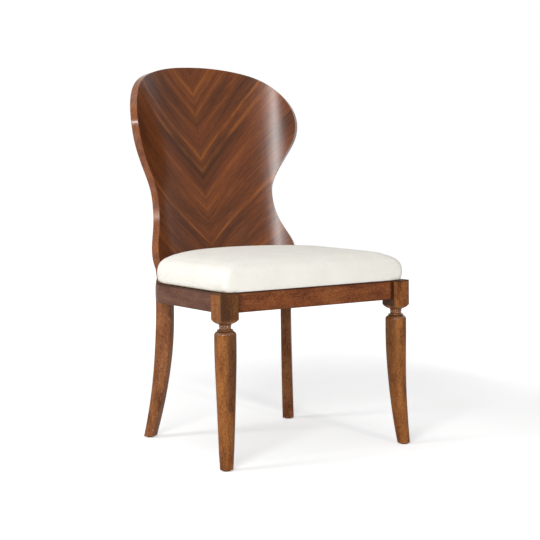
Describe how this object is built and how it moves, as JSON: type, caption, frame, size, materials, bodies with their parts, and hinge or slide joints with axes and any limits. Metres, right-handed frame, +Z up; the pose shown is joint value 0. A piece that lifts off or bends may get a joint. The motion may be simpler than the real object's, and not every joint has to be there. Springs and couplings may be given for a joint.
{
  "type": "side chair",
  "caption": "Side chair with a leaning barrel back veneered in a V, a horseshoe seat frame, turned sabre front legs, raked rear legs and a padded seat.",
  "frame": {"origin": "on the floor, under the middle of the chair's box", "axes": "+X to the right of someone who faces the front of the chair, -Y out of the front of the seat, +Z up"},
  "size_m": [0.5746, 0.6527, 1.0008],
  "materials": {
    "rail_wood": "satin lacquer over a red-brown stain",
    "leg_wood": "satin lacquer over an orange-brown stain",
    "lipping_wood": "polished lacquer",
    "veneer": "satin lacquer over striped veneer laid in a V",
    "plywood": "raw",
    "block_wood": "raw",
    "dowel_wood": "raw",
    "screw_steel": "zinc plated",
    "bolt_steel": "zinc plated",
    "foam": "open-cell foam",
    "seat_fabric": "plain woven, off-white",
    "dust_cloth": "black non-woven",
    "glide_plastic": "moulded"
  },
  "bodies": {
    "root": {"front_rail": "rail_wood", "side_rail_left": "rail_wood", "side_rail_right": "rail_wood", "rear_rail": "rail_wood", "front_leg_left": "leg_wood", "front_leg_right": "leg_wood", "rear_leg_left": "leg_wood", "rear_leg_right": "leg_wood", "back_core": "plywood", "back_lipping": "lipping_wood", "front_veneer_left": "veneer", "front_veneer_right": "veneer", "rear_veneer_left": "veneer", "rear_veneer_right": "veneer", "front_corner_block_left": "block_wood", "front_corner_block_right": "block_wood", "rear_corner_block_left": "block_wood", "rear_corner_block_right": "block_wood", "frame_dowels": "dowel_wood", "corner_block_screws": "screw_steel", "back_screws": "screw_steel", "rear_leg_bolts": "bolt_steel", "seat_screws": "screw_steel", "hanger_bolt_left": "bolt_steel", "hanger_bolt_right": "bolt_steel", "hanger_washer_left": "bolt_steel", "hanger_washer_right": "bolt_steel", "hanger_nut_left": "bolt_steel", "hanger_nut_right": "bolt_steel", "seat_board": "plywood", "seat_foam": "foam", "seat_cover": "seat_fabric", "dust_cover": "dust_cloth", "foot_glide_front_left": "glide_plastic", "foot_glide_front_right": "glide_plastic", "foot_glide_rear_left": "glide_plastic", "foot_glide_rear_right": "glide_plastic"}
  },
  "joints": []
}
